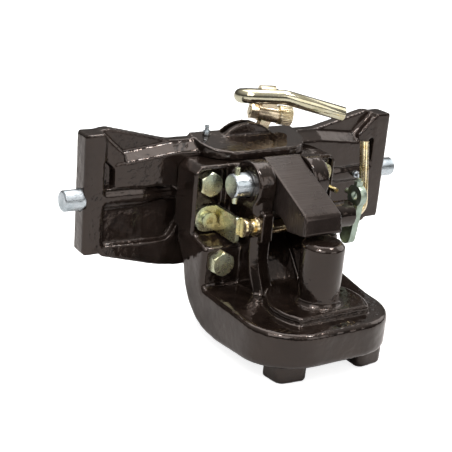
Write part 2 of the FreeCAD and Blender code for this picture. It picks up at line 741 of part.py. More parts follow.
def screw_direction():
    """Unit vector along the clamp screw, towards its knurled head."""
    turn = math.radians(BAR_TURN)
    dip = math.radians(SCREW_TILT)
    return V(math.cos(turn) * math.cos(dip), -math.sin(turn) * math.cos(dip), -math.sin(dip))


def clamp_hole():
    """Hole of the clamp screw through hub and shank."""
    centre = lever_axis_point(SHANK_LENGTH)
    reach = screw_direction() * 25
    return rod(SCREW_DIAMETER / 2, centre - reach, centre + reach)


def bar_back_point():
    """Point of the bar's return leg above the lever's centre line."""
    return lever_axis_point(SHANK_LENGTH) + V(0, BAR_BACK_OFFSET, BAR_BACK_RISE)


def handle_hub():
    """Clamp block on the shank that holds the return leg of the bar."""
    along = bar_direction()
    top = bar_back_point()
    low = lever_axis_point(SHANK_LENGTH)
    half = HUB_LENGTH / 2
    eye = rod(HUB_RADIUS, top - along * half, top + along * half)
    reach = screw_direction() * (CHEEK_LENGTH / 2)
    cheek = rod(HUB_RADIUS - 2, low - reach, low + reach)
    neck = box(-half, half, -HUB_NECK / 2, HUB_NECK / 2, 0, top.z - low.z)
    neck.Placement = FreeCAD.Placement(low, FreeCAD.Rotation(V(1, 0, 0), along))
    slot = box(
        -SHANK_WIDTH / 2, SHANK_WIDTH / 2, CAM_Y, CAM_Y + CAM_THICK,
        LOCK_PIN_Z, LOCK_PIN_Z + SHANK_LENGTH + SHANK_END,
    )
    slot.rotate(V(0, CAM_Y, LOCK_PIN_Z), V(0, 1, 0), LEVER_LEAN)
    bore = rod(BAR_DIAMETER / 2, top - along * 30, top + along * 30)
    return eye.fuse([cheek, neck]).cut(slot).cut(bore).cut(clamp_hole())


def handle_bar():
    """Round bar, turned back on itself at the hub and cranked down to its free end."""
    along = bar_direction()
    back = bar_back_point()
    radius = BAR_DIAMETER / 2
    across = V(-math.sin(math.radians(BAR_TURN)), -math.cos(math.radians(BAR_TURN)), 0)
    offset = across * BAR_SPACING + V(0, 0, BAR_RISE)
    bend_start = back - along * (BAR_BACK_LENGTH - BAR_STUB)
    front_start = bend_start + offset
    bend = offset.Length / 2
    apex = bend_start + offset * 0.5 - along * bend
    start = back + along * BAR_STUB
    slope = math.radians(BAR_SLOPE)
    down = V(along.x * math.cos(slope), along.y * math.cos(slope), -math.sin(slope))
    kink = front_start + along * BAR_LEVEL_LENGTH
    trim = BAR_KINK_RADIUS * math.tan(slope / 2)
    kink_in = kink - along * trim
    kink_out = kink + down * trim
    bow = (down - along).normalize()
    kink_mid = kink + bow * (BAR_KINK_RADIUS / math.cos(slope / 2) - BAR_KINK_RADIUS)
    end = kink + down * BAR_SLOPE_LENGTH
    path = Part.Wire([
        Part.LineSegment(start, bend_start).toShape(),
        Part.Arc(bend_start, apex, front_start).toShape(),
        Part.LineSegment(front_start, kink_in).toShape(),
        Part.Arc(kink_in, kink_mid, kink_out).toShape(),
        Part.LineSegment(kink_out, end).toShape(),
    ])
    ring = Part.Wire([Part.makeCircle(radius, start, along)])
    return path.makePipeShell([ring], True, False)


def clamp_screw():
    """Knurled cap screw through the hub."""
    centre = lever_axis_point(SHANK_LENGTH)
    along = screw_direction()
    half = CHEEK_LENGTH / 2
    head_start = centre + along * half
    head_end = head_start + along * SCREW_HEAD_LENGTH
    head = rod(SCREW_HEAD_DIAMETER / 2, head_start, head_end)
    flutes = 24
    ring = SCREW_HEAD_DIAMETER / 2 + 0.2
    for i in range(flutes):
        turn = FreeCAD.Rotation(along, 360.0 * i / flutes)
        edge = turn.multVec(V(0, 0, 1).cross(along).normalize() * ring)
        head = head.cut(rod(0.7, head_start + along * 3 + edge, head_end + edge))
    socket = hexagon(8, 7, head_end - along * 6, along)
    stem = rod(SCREW_DIAMETER / 2, centre - along * (half + SCREW_NUT_LENGTH + 1), head_start)
    return head.cut(socket).fuse(stem)


def clamp_nut():
    """Nut of the clamp screw."""
    along = screw_direction()
    seat = lever_axis_point(SHANK_LENGTH) - along * (CHEEK_LENGTH / 2)
    nut = hexagon(SCREW_NUT_FLATS, SCREW_NUT_LENGTH, seat, along * -1)
    bore = rod(SCREW_DIAMETER / 2, seat, seat - along * SCREW_NUT_LENGTH)
    return nut.cut(bore)


def grease_nipple(base, direction, depth):
    """Conical grease nipple with a hexagon, screwed in along direction."""
    up = direction.normalize()
    hexed = hexagon(7, 3.5, base, up)
    stem = rod(NIPPLE_STEM_RADIUS, base - up * depth, base)
    cone = Part.makeCone(2.6, 1.8, 3.5, base + up * 3.5, up)
    ball = rod(2.6, base + up * 7, base + up * 9)
    return hexed.fuse([stem, cone, ball])


def top_nipple():
    """Grease nipple on the left of the top pad."""
    slope = (PAD_BACK_Z - PAD_FRONT_Z) / (BACK_Y - PAD_FRONT_Y + OVERLAP)
    base = V(TOP_NIPPLE_X, BACK_Y - TOP_NIPPLE_INSET, PAD_BACK_Z - slope * TOP_NIPPLE_INSET)
    return grease_nipple(base + V(0, 0, TOP_NIPPLE_RAISE), V(0, 0, 1), TOP_NIPPLE_DEPTH)


def wing_nipple():
    """Grease nipple on the front of the right wing, for the locking pin."""
    base = V(WING_NIPPLE_X, LOCK_PIN_Y - LOCK_BOSS_RADIUS, LOCK_PIN_Z)
    return grease_nipple(base, V(0, -1, 0), WING_NIPPLE_DEPTH)


def lever_stop_screw():
    """Set screw in the right pocket, beside the release lever's eye."""
    start = V(STOP_SCREW_X, POCKET_FLOOR + STOP_SCREW_LENGTH / 3, STOP_SCREW_Z)
    end = start - V(0, STOP_SCREW_LENGTH, 0)
    screw = rod(STOP_SCREW_DIAMETER / 2, start, end)
    return screw.cut(hexagon(STOP_SCREW_DIAMETER / 2, 3, end, V(0, 1, 0)))


def ear():
    """Right ear of the hook, from the base up to the keeper pivot."""
    root = FLANGE_FRONT + FLANGE_EDGE
    side = [
        (root, FLANGE_TOP - FLANGE_EDGE, 0),
        (PIVOT_Y + EAR_TOP_SET_BACK, FLANGE_TOP + FLANGE_EDGE, EAR_TOP_RADIUS),
        (EAR_FRONT_Y, PIVOT_Z - EAR_BROW_DROP, EAR_BROW_RADIUS),
        (EAR_FRONT_Y, EAR_BEND_Z, EAR_BEND_RADIUS),
        (EAR_FRONT_Y - EAR_FOOT_REACH, BASE_TOP - OVERLAP, 0),
        (root, BASE_TOP - OVERLAP, 0),
    ]
    plate = plate_yz(side, EAR_INNER, EAR_OUTER)
    edges = []
    for edge in plate.Edges:
        centre = edge.CenterOfMass
        upright = abs(edge.BoundBox.XLength) < 0.01 and abs(edge.BoundBox.YLength) < 0.01
        if upright and abs(centre.x - EAR_OUTER) < 0.01 and abs(centre.y - EAR_FRONT_Y) < 0.01:
            edges.append(edge)
    plate = plate.makeChamfer(EAR_CHAMFER, edges)
    boss = rod(EAR_BOSS_RADIUS, V(EAR_INNER, PIVOT_Y, PIVOT_Z), V(EAR_OUTER, PIVOT_Y, PIVOT_Z))
    front = SHAFT_Y - SHAFT_DIAMETER / 2 - LUG_WALL
    half = LUG_HEIGHT / 2
    lug = [
        (front, SHAFT_Z - half, 2),
        (front, SHAFT_Z + half, 2),
        (EAR_FRONT_Y + 10, SHAFT_Z + half, 0),
        (EAR_FRONT_Y + 10, SHAFT_Z - half, 0),
    ]
    return plate.fuse([boss, plate_yz(lug, LUG_INNER, LUG_INNER + LUG_WIDTH)])


def hook_block():
    """Flange, lower pads, curved back and base of the hook as one side profile."""
    side = [
        (FACE_Y, FLANGE_TOP, 0),
        (FLANGE_FRONT, FLANGE_TOP, FLANGE_EDGE),
        (FLANGE_FRONT, PAD_STEP_Z + STEP_RISE, STEP_RADIUS),
        (LOWER_PAD_Y, PAD_STEP_Z, LOWER_PAD_RADIUS),
        (LOWER_PAD_Y, BASE_TOP, BASE_ROOT_RADIUS),
        (NOSE_Y, BASE_TOP, 0),
        (NOSE_Y, NOSE_BOTTOM, 0),
        (BELLY_FRONT_Y, BASE_BOTTOM, BELLY_FRONT_RADIUS),
        (BELLY_BACK_Y, BASE_BOTTOM + BELLY_BACK_RISE, BELLY_BACK_RADIUS),
        (NAPE_Y, NAPE_Z, NAPE_RADIUS),
        (FACE_Y, NAPE_TOP_Z, NAPE_TOP_RADIUS),
    ]
    block = plate_yz(side, -HOOK_HALF_WIDTH, HOOK_HALF_WIDTH)
    plan = [
        (-HOOK_HALF_WIDTH, FACE_Y, 0),
        (-HOOK_HALF_WIDTH, NOSE_Y, NOSE_CORNER),
        (NOSE_RIGHT_X, NOSE_Y, NOSE_RIGHT_CORNER),
        (NOSE_RIGHT_X, TAPER_START_Y, TAPER_START_RADIUS),
        (HOOK_HALF_WIDTH, LOWER_PAD_Y - TAPER_END_SET_BACK, TAPER_END_RADIUS),
        (HOOK_HALF_WIDTH, FACE_Y, 0),
    ]
    block = block.common(plate_xy(plan, BASE_BOTTOM - OVERLAP, FLANGE_TOP + OVERLAP))
    block = block.makeFillet(BASE_ROUND, [e for e in block.Edges if on_base_rim(e)])
    block = block.makeFillet(FLANK_ROUND, [e for e in block.Edges if on_flank_rim(e)])
    rim = plate_xz(flange_outline(FLANGE_HALF_WIDTH, PAD_STEP_Z + 8), FLANGE_FRONT, FACE_Y)
    corners = [
        e for e in rim.Edges
        if abs(e.BoundBox.YMin - FLANGE_FRONT) < 0.01 and abs(e.BoundBox.YMax - FLANGE_FRONT) < 0.01
    ]
    shell = plate_xz(flange_outline(FLANGE_HALF_WIDTH, BASE_BOTTOM - OVERLAP), NOSE_Y - OVERLAP, FACE_Y)
    return block.common(shell).fuse(rim.makeChamfer(FLANGE_EDGE, corners))


def flange_outline(half_width, bottom):
    """Front outline of the flange with its chamfered top corners."""
    return [
        (-half_width, bottom, 0),
        (-half_width, FLANGE_TOP - FLANGE_CORNER, FLANGE_CORNER_RADIUS),
        (FLANGE_CORNER - half_width, FLANGE_TOP, FLANGE_CORNER_RADIUS),
        (half_width - FLANGE_CORNER, FLANGE_TOP, FLANGE_CORNER_RADIUS),
        (half_width, FLANGE_TOP - FLANGE_CORNER, FLANGE_CORNER_RADIUS),
        (half_width, bottom, 0),
    ]


def on_base_rim(edge):
    """Whether an edge runs round the top of the base, outside the ears."""
    flat = abs(edge.BoundBox.ZMin - BASE_TOP) < 0.01 and abs(edge.BoundBox.ZMax - BASE_TOP) < 0.01
    return flat and edge.BoundBox.YMin < LOWER_PAD_Y - 20


def on_flank_rim(edge):
    """Whether an edge runs along the bottom and back of the hook's flanks or nose."""
    box = edge.BoundBox
    if box.ZMax > BASE_TOP - 10 and box.YMin < LOWER_PAD_Y + 20:
        return False
    outer = min(abs(box.XMin), abs(box.XMax)) > NOSE_RIGHT_X - 1
    on_nose = box.ZMax < NOSE_BOTTOM + 3 and box.YMax < 2
    return (outer and box.ZMax < PAD_STEP_Z) or on_nose


def bolt_pocket():
    """Recess round an upper bolt of the right side."""
    outline = [
        (POCKET_INNER_X, POCKET_TOP, POCKET_INNER_RADIUS),
        (POCKET_INNER_X, POCKET_BOTTOM, POCKET_INNER_RADIUS),
        (FLANGE_HALF_WIDTH - POCKET_RIM, POCKET_BOTTOM, POCKET_LOW_RADIUS),
        (FLANGE_HALF_WIDTH - POCKET_RIM, POCKET_TOP, POCKET_HIGH_RADIUS),
    ]
    return plate_xz(outline, FLANGE_FRONT - 20, POCKET_FLOOR)


def seat():
    """Raised pad round the coupling pin, straight at the front."""
    disc = rod(SEAT_RADIUS, V(0, 0, BASE_TOP - OVERLAP), V(0, 0, 0))
    disc = disc.common(box(-SEAT_RADIUS, SEAT_RADIUS, SEAT_FRONT, SEAT_RADIUS, BASE_TOP - OVERLAP, 0))
    top = [e for e in disc.Edges if abs(e.BoundBox.ZMin) < 0.01 and abs(e.BoundBox.ZMax) < 0.01]
    return disc.makeFillet(SEAT_EDGE_RADIUS, top)


def foot():
    """Cast foot under the right front corner, with its gusset."""
    half = FOOT_WIDTH / 2
    deep = FOOT_DEPTH / 2
    pad = plate_xy(
        [
            (FOOT_X - half, FOOT_Y - deep, FOOT_INNER_RADIUS),
            (FOOT_X + half - FOOT_TAPER, FOOT_Y - deep + FOOT_TAPER, FOOT_OUTER_RADIUS),
            (FOOT_X + half, FOOT_Y + deep, FOOT_REAR_RADIUS),
            (FOOT_X - half, FOOT_Y + deep, FOOT_REAR_RADIUS),
        ],
        FOOT_BOTTOM, BASE_TOP - FOOT_ROOT_DEPTH,
    )
    low = [e for e in pad.Edges if e.BoundBox.ZMax < FOOT_BOTTOM + 0.01]
    return pad.makeFillet(FOOT_EDGE_RADIUS, low)


def throat():
    """Space between the ears that the keeper and the towing eye use."""
    above = FLANGE_TOP + EAR_BOSS_RADIUS
    side = [
        (FLANGE_FRONT + THROAT_BACK, above, 0),
        (FLANGE_FRONT + THROAT_BACK, THROAT_BACK_Z, THROAT_BACK_RADIUS),
        (LOWER_PAD_Y + 4, THROAT_MID_Z, THROAT_MID_RADIUS),
        (EAR_FRONT_Y + 2, BASE_TOP, THROAT_LOW_RADIUS),
        (EAR_FRONT_Y - THROAT_RUN_OUT, BASE_TOP, 0),
        (EAR_FRONT_Y - THROAT_RUN_OUT, above, 0),
    ]
    return plate_yz(side, -EAR_INNER, EAR_INNER)


def hook_body():
    """The hook forging: flange, ears, throat, base, seat and feet."""
    body = hook_block().fuse(both_sides(ear()))
    core = [
        (FLANGE_FRONT + FLANGE_EDGE, PAD_STEP_Z + 8, 0),
        (EAR_FRONT_Y, PAD_STEP_Z + 8, 6),
        (EAR_FRONT_Y, EAR_BEND_Z, EAR_BEND_RADIUS),
        (EAR_FRONT_Y - EAR_FOOT_REACH, BASE_TOP - OVERLAP, 0),
        (FLANGE_FRONT + FLANGE_EDGE, BASE_TOP - OVERLAP, 0),
    ]
    body = body.fuse(plate_yz(core, -EAR_INNER, EAR_INNER))
    boss = rod(SHAFT_BOSS_RADIUS, V(EAR_INNER, SHAFT_Y, SHAFT_Z), V(SHAFT_BOSS_END, SHAFT_Y, SHAFT_Z))
    body = body.fuse(boss).cut(throat())
    body = body.cut(both_sides(bolt_pocket()))
    body = body.fuse([seat(), both_sides(foot())])
    bolt_hole = (BOLT_DIAMETER + BOLT_HOLE_CLEARANCE) / 2
    for side in (-1, 1):
        for x, z in BOLT_PLACES:
            body = body.cut(rod(bolt_hole, V(side * x, 0, z), V(side * x, FACE_Y, z)))
        body = body.cut(rod(
            BOLT_SPOT_RADIUS,
            V(side * LOWER_BOLT_X, LOWER_PAD_Y - 20, LOWER_BOLT_Z),
            V(side * LOWER_BOLT_X, LOWER_PAD_Y, LOWER_BOLT_Z),
        ))
    relief = LEVER_ARM_DROP + LEVER_ARM_RADIUS + 1
    x_far = SHAFT_BOSS_END + 1
    body = body.cut(rod(relief, shaft_point(x_far), shaft_point(FLANGE_HALF_WIDTH + 1)))
    pivot_bore = PIVOT_DIAMETER / 2 + RUNNING
    body = body.cut(rod(pivot_bore, V(-x_far, PIVOT_Y, PIVOT_Z), V(x_far, PIVOT_Y, PIVOT_Z)))
    shaft_bore = SHAFT_DIAMETER / 2 + RUNNING
    body = body.cut(rod(shaft_bore, V(-x_far, SHAFT_Y, SHAFT_Z), V(x_far, SHAFT_Y, SHAFT_Z)))
    body = body.cut(rod(SPIGOT_DIAMETER / 2, V(0, 0, BASE_BOTTOM - 5), V(0, 0, 0)))
    clip_bore = SPIGOT_DIAMETER / 2 + CLIP_RIM + 1
    recess_top = NOSE_BOTTOM + CLIP_RECESS
    body = body.cut(rod(clip_bore, V(0, 0, BASE_BOTTOM - 5), V(0, 0, recess_top)))
    screw = V(-BRACKET_HOLE_X, 0, BRACKET_Z)
    body = body.cut(rod(
        BRACKET_SCREW_DIAMETER / 2, screw + V(0, POCKET_FLOOR, 0), screw + V(0, POCKET_FLOOR + 20, 0),
    ))
    stop = V(STOP_SCREW_X, POCKET_FLOOR, STOP_SCREW_Z)
    body = body.cut(rod(STOP_SCREW_DIAMETER / 2, stop, stop + V(0, STOP_SCREW_LENGTH / 3, 0)))
    return body.removeSplitter()


def coupling_pin():
    """Fixed pin with a flared foot, pressed into the hook."""
    radius = PIN_DIAMETER / 2
    low = NOSE_BOTTOM + CLIP_RECESS - CLIP_THICK - 2
    start = V(radius, 0, PIN_FOOT_FILLET)
    fillet_mid = V(
        radius + PIN_FOOT_FILLET * (1 - math.sqrt(0.5)), 0, PIN_FOOT_FILLET * (1 - math.sqrt(0.5)),
    )
    edge_z = PIN_TOP - PIN_CHAMFER
    edges = [
        Part.LineSegment(V(0, 0, low), V(SPIGOT_DIAMETER / 2, 0, low)),
        Part.LineSegment(V(SPIGOT_DIAMETER / 2, 0, low), V(SPIGOT_DIAMETER / 2, 0, 0)),
        Part.LineSegment(V(SPIGOT_DIAMETER / 2, 0, 0), V(PIN_FOOT_RADIUS, 0, 0)),
        Part.Arc(V(PIN_FOOT_RADIUS, 0, 0), fillet_mid, start),
        Part.LineSegment(start, V(radius, 0, edge_z)),
        Part.LineSegment(V(radius, 0, edge_z), V(radius - PIN_CHAMFER, 0, PIN_TOP)),
        Part.LineSegment(V(radius - PIN_CHAMFER, 0, PIN_TOP), V(0, 0, PIN_TOP)),
        Part.LineSegment(V(0, 0, PIN_TOP), V(0, 0, low)),
    ]
    profile = Part.Face(Part.Wire([e.toShape() for e in edges]))
    return profile.revolve(V(0, 0, 0), V(0, 0, 1), 360)


def pin_clip():
    """Retaining ring under the hook, on the end of the coupling pin."""
    top = NOSE_BOTTOM + CLIP_RECESS
    ring = Part.makeCylinder(SPIGOT_DIAMETER / 2 + CLIP_RIM, CLIP_THICK, V(0, 0, top - CLIP_THICK))
    bore = Part.makeCylinder(SPIGOT_DIAMETER / 2, CLIP_THICK, V(0, 0, top - CLIP_THICK))
    return ring.cut(bore)


def keeper():
    """Swinging keeper: sloping top plate, nose over the pin and locking heel."""
    front = KEEPER_FRONT_Y
    heel_front = SHAFT_Y + SHAFT_DIAMETER / 2 + CLEAR + 0.1
    reach = heel_front - PIVOT_Y
    heel_low = PIVOT_Z - math.sqrt(HEEL_RADIUS ** 2 - reach ** 2)
    back_angle = math.radians(-60)
    mid_angle = (math.atan2(heel_low - PIVOT_Z, reach) + back_angle) / 2
    heel_back = V(
        0, PIVOT_Y + HEEL_RADIUS * math.cos(back_angle), PIVOT_Z + HEEL_RADIUS * math.sin(back_angle),
    )
    heel_mid = V(
        0, PIVOT_Y + HEEL_RADIUS * math.cos(mid_angle), PIVOT_Z + HEEL_RADIUS * math.sin(mid_angle),
    )
    body = [
        (PIVOT_Y + 6, PIVOT_Z + 26.4, 2),
        (front + KEEPER_LIP_SET_BACK, KEEPER_LIP_TOP, 7),
        (front, KEEPER_LIP_BOTTOM, 3),
        (PIVOT_Y - 47, 64.6, 3),
        (PIVOT_Y - 39, 74, 5),
        (SHAFT_Y - 9, 77, 8),
        (heel_front, 76, 1),
        (heel_front, PIVOT_Z - 30, 0),
        (heel_back.y, PIVOT_Z - 30, 0),
        (PIVOT_Y + 23, PIVOT_Z - 14, 14),
        (PIVOT_Y + 23, PIVOT_Z + 10, 14),
    ]
    shape = plate_yz(body, -KEEPER_HALF_WIDTH, KEEPER_HALF_WIDTH)
    x = -KEEPER_HALF_WIDTH
    shift = V(x, 0, 0)
    top = PIVOT_Z - 30
    heel = Part.Wire([
        Part.LineSegment(V(x, heel_front, top), V(x, heel_front, heel_low)).toShape(),
        Part.Arc(V(x, heel_front, heel_low), heel_mid + shift, heel_back + shift).toShape(),
        Part.LineSegment(heel_back + shift, V(x, heel_back.y, top)).toShape(),
        Part.LineSegment(V(x, heel_back.y, top), V(x, heel_front, top)).toShape(),
    ])
    shape = shape.fuse(Part.Face(heel).extrude(V(2 * KEEPER_HALF_WIDTH, 0, 0)))
    bush = PIVOT_DIAMETER / 2 + KEEPER_BUSH_WALL
    bore = rod(bush, V(-30, PIVOT_Y, PIVOT_Z), V(30, PIVOT_Y, PIVOT_Z))
    return shape.cut(bore).removeSplitter()


def keeper_bushes():
    """Two bushes pressed into the keeper."""
    outer = PIVOT_DIAMETER / 2 + KEEPER_BUSH_WALL
    inner = PIVOT_DIAMETER / 2 + RUNNING
    near = KEEPER_HALF_WIDTH - KEEPER_BUSH_LENGTH
    start = V(near, PIVOT_Y, PIVOT_Z)
    end = V(KEEPER_HALF_WIDTH, PIVOT_Y, PIVOT_Z)
    return pair(rod(outer, start, end).cut(rod(inner, start, end)))


def roll_pin_x():
    """Station of the spring pin near the pivot's left end."""
    return ROLL_PIN_INSET - PIVOT_LEFT_END


def keeper_pivot():
    """Pin that the keeper swings on, with a cross hole at its left end."""
    start = V(-PIVOT_LEFT_END, PIVOT_Y, PIVOT_Z)
    end = V(PIVOT_RIGHT_END, PIVOT_Y, PIVOT_Z)
    pin = rod(PIVOT_DIAMETER / 2, start, end)
    rims = [e for e in pin.Edges if e.BoundBox.XLength < 0.01]
    pin = pin.makeChamfer(1.5, rims)
    low = V(roll_pin_x(), PIVOT_Y, PIVOT_Z - PIVOT_DIAMETER)
    return pin.cut(rod(ROLL_PIN_DIAMETER / 2, low, low + V(0, 0, 2 * PIVOT_DIAMETER)))


def roll_pin():
    """Slotted spring pin across the left end of the keeper pivot."""
    x = roll_pin_x()
    low = V(x, PIVOT_Y, PIVOT_Z - ROLL_PIN_LENGTH / 2)
    high = low + V(0, 0, ROLL_PIN_LENGTH)
    tube = rod(ROLL_PIN_DIAMETER / 2, low, high).cut(rod(ROLL_PIN_DIAMETER / 4, low, high))
    return tube.cut(box(x - 0.6, x + 0.6, PIVOT_Y, PIVOT_Y + ROLL_PIN_DIAMETER, low.z, high.z))


def shaft_point(x, up=0.0, ahead=0.0):
    """Point near the release shaft's axis."""
    return V(x, SHAFT_Y + ahead, SHAFT_Z + up)


def shaft_left_end():
    """Station of the shaft's left end, just inside the retaining bracket."""
    return -(EAR_OUTER + 12.0)


def release_shaft():
    """Half-moon shaft with a head, a necked groove and the bent handle rod."""
    left = shaft_left_end()
    neck_start = left + SHAFT_HEAD_LENGTH
    radius = SHAFT_DIAMETER / 2
    body = rod(radius, shaft_point(left), shaft_point(neck_start))
    body = body.fuse(rod(SHAFT_NECK_DIAMETER / 2, shaft_point(neck_start), shaft_point(-EAR_OUTER + 1)))
    body = body.fuse(rod(radius, shaft_point(-EAR_OUTER + 1), shaft_point(SHAFT_BOSS_END + 1)))
    half_moon = EAR_INNER - 0.4
    reach = radius + OVERLAP
    body = body.cut(box(-half_moon, half_moon, SHAFT_Y - reach, SHAFT_Y + reach, SHAFT_Z, SHAFT_Z + reach))
    lever_end = SHAFT_BOSS_END + 2 + LEVER_THICK
    body = body.fuse(rod(SHAFT_NECK_DIAMETER / 2, shaft_point(SHAFT_BOSS_END), shaft_point(lever_end)))
    lean = math.radians(ROD_LEAN)
    up = V(0, math.sin(lean), math.cos(lean))
    bend = ROD_BEND_RADIUS
    start = shaft_point(SHAFT_BOSS_END)
    turn_in = shaft_point(ROD_X - bend)
    corner = shaft_point(ROD_X)
    turn_out = corner + up * bend
    middle = corner + (up - V(1, 0, 0)).normalize() * (bend * (math.sqrt(2) - 1))
    path = Part.Wire([
        Part.LineSegment(start, turn_in).toShape(),
        Part.Arc(turn_in, middle, turn_out).toShape(),
        Part.LineSegment(turn_out, corner + up * ROD_HEIGHT).toShape(),
    ])
    ring = Part.Wire([Part.makeCircle(ROD_DIAMETER / 2, start, V(1, 0, 0))])
    return body.fuse(path.makePipeShell([ring], True, False))


def lever_centre(rise):
    """Side-view place on the release lever, a distance above the shaft axis."""
    tilt = math.radians(LEVER_TILT)
    return (SHAFT_Y - rise * math.sin(tilt), SHAFT_Z + rise * math.cos(tilt))


def release_lever():
    """Flat lever on the shaft with a cable eye at its top."""
    x0 = SHAFT_BOSS_END + 2
    x1 = x0 + LEVER_THICK
    eye_y, eye_z = lever_centre(LEVER_EYE_RISE)
    arm_y, arm_z = lever_centre(-LEVER_ARM_DROP)
    eye = rod(LEVER_EYE_RADIUS, V(x0, eye_y, eye_z), V(x0 + LEVER_THICK, eye_y, eye_z))
    end = rod(LEVER_ARM_RADIUS, V(x0, arm_y, arm_z), V(x1, arm_y, arm_z))
    strip = box(0, LEVER_THICK, -LEVER_ARM_RADIUS, LEVER_ARM_RADIUS, -LEVER_ARM_DROP, LEVER_EYE_RISE)
    strip.Placement = FreeCAD.Placement(shaft_point(x0), FreeCAD.Rotation(V(1, 0, 0), LEVER_TILT))
    plate = eye.fuse([end, strip])
    shaft = rod(SHAFT_NECK_DIAMETER / 2, shaft_point(x0), shaft_point(x1))
    bore = rod(LEVER_EYE_BORE / 2, V(x0, eye_y, eye_z), V(x0 + LEVER_THICK, eye_y, eye_z))
    above = box(x0, x1, eye_y - 20, eye_y + 20, eye_z + LEVER_EYE_FLAT, eye_z + 20)
    behind = box(x0, x1, eye_y + LEVER_EYE_FLAT, eye_y + 20, eye_z - 5, eye_z + 20)
    middle = V((x0 + x1) / 2, eye_y, eye_z)
    screw = rod(EYE_SCREW_DIAMETER / 2, middle, middle + V(0, 0, LEVER_EYE_RADIUS))
    stop = rod(EYE_STOP_DIAMETER / 2, middle, middle + V(0, LEVER_EYE_RADIUS, 0))
    return plate.cut(shaft).cut(bore).cut(above).cut(behind).cut(screw).cut(stop)


def eye_screw():
    """Clamp screw on top of the lever's eye."""
    eye_y, eye_z = lever_centre(LEVER_EYE_RISE)
    base = V(SHAFT_BOSS_END + 2 + LEVER_THICK / 2, eye_y, eye_z + LEVER_EYE_FLAT)
    depth = LEVER_EYE_FLAT - LEVER_EYE_BORE / 2 - 1
    stem = rod(EYE_SCREW_DIAMETER / 2, base - V(0, 0, depth), base + V(0, 0, 8))
    return hexagon(8, 5, base, V(0, 0, 1)).fuse(stem)


def eye_stop():
    """Short stop pin at the back of the lever's eye."""
    eye_y, eye_z = lever_centre(LEVER_EYE_RISE)
    base = V(SHAFT_BOSS_END + 2 + LEVER_THICK / 2, eye_y + LEVER_EYE_FLAT, eye_z)
    depth = LEVER_EYE_FLAT - LEVER_EYE_BORE / 2 - 1
    return rod(EYE_STOP_DIAMETER / 2, base - V(0, depth, 0), base + V(0, 7, 0))


def retaining_bracket():
    """Angle bracket bolted in the left pocket, whose leg stops the shaft."""
    leg_x = shaft_left_end() - CLEAR
    half = BRACKET_HEIGHT / 2
    foot_front = POCKET_FLOOR - BRACKET_THICK
    round_x = -(FLANGE_HALF_WIDTH - POCKET_RIM - 0.6)
    flat = plate_xz(
        [
            (leg_x, BRACKET_Z + half, 0),
            (round_x, BRACKET_Z + half, half - 0.2),
            (round_x, BRACKET_Z - half, half - 0.2),
            (leg_x, BRACKET_Z - half, 0),
        ],
        foot_front, POCKET_FLOOR,
    )
    leg = plate_yz(
        [
            (POCKET_FLOOR, BRACKET_Z + half, 0),
            (BRACKET_LEG_END_Y, BRACKET_Z + half, 3),
            (BRACKET_LEG_END_Y, BRACKET_Z - half, 3),
            (POCKET_FLOOR, BRACKET_Z - half, 0),
        ],
        leg_x - BRACKET_THICK, leg_x,
    )
    angle = flat.fuse(leg)
    hole = rod(
        BRACKET_SCREW_DIAMETER / 2,
        V(-BRACKET_HOLE_X, foot_front, BRACKET_Z),
        V(-BRACKET_HOLE_X, POCKET_FLOOR, BRACKET_Z),
    )
    return angle.cut(hole)


def bracket_screw():
    """Socket screw of the retaining bracket."""
    seat_y = POCKET_FLOOR - BRACKET_THICK
    place = V(-BRACKET_HOLE_X, seat_y, BRACKET_Z)
    top = place - V(0, BRACKET_SCREW_HEAD_LENGTH, 0)
    head = rod(BRACKET_SCREW_HEAD / 2, top, place)
    stem = rod(BRACKET_SCREW_DIAMETER / 2, place, place + V(0, 20, 0))
    return head.cut(hexagon(8, 4, top, V(0, 1, 0))).fuse(stem)


def flange_bolt(x, z, seat_y):
    """Hexagon bolt from a seat on the hook into the carriage."""
    head = hexagon(BOLT_FLATS, BOLT_HEAD, V(x, seat_y, z), V(0, -1, 0))
    rim = BOLT_FLATS / 2
    cone = Part.makeCone(rim, rim + BOLT_HEAD, BOLT_HEAD, V(x, seat_y - BOLT_HEAD, z), V(0, 1, 0))
    stem = rod(BOLT_DIAMETER / 2, V(x, seat_y, z), V(x, BACK_Y - 2, z))
    return head.common(cone).fuse(stem)


def export(name, shape):
    """Write one node as a STEP file."""
    shape.exportStep("parts/" + name + ".step")
    print(name, len(shape.Solids), round(shape.Volume), shape.isValid())


def main():
    """Build every node."""
    os.makedirs("parts", exist_ok=True)
    export("carriage", carriage())
    export("rear_cover", rear_cover())
    export("cover_screws", cover_screws())
    export("cam_pivot", cam_pivot())
    for name, side in (("left", -1), ("right", 1)):
        export("lock_pin_" + name, lock_pin(side))
        export("follower_peg_" + name, follower_peg(side))
    export("selector_cam", selector_cam())
    export("handle_hub", handle_hub())
    export("handle_bar", handle_bar())
    export("clamp_screw", clamp_screw())
    export("clamp_nut", clamp_nut())
    export("top_grease_nipple", top_nipple())
    export("wing_grease_nipple", wing_nipple())
    export("lever_stop_screw", lever_stop_screw())
    export("hook_body", hook_body())
    export("coupling_pin", coupling_pin())
    export("coupling_pin_clip", pin_clip())
    export("keeper", keeper())
    export("keeper_bushes", keeper_bushes())
    export("keeper_pivot", keeper_pivot())
    export("pivot_roll_pin", roll_pin())
    export("release_shaft", release_shaft())
    export("release_lever", release_lever())
    export("lever_eye_screw", eye_screw())
    export("lever_eye_stop", eye_stop())
    export("retaining_bracket", retaining_bracket())
    export("bracket_screw", bracket_screw())
    export("upper_flange_bolts", pair(flange_bolt(UPPER_BOLT_X, UPPER_BOLT_Z, POCKET_FLOOR)))
    export("lower_flange_bolts", pair(flange_bolt(LOWER_BOLT_X, LOWER_BOLT_Z, LOWER_PAD_Y)))


main()
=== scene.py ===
"""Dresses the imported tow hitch: studio, camera, finishes and softened edges."""

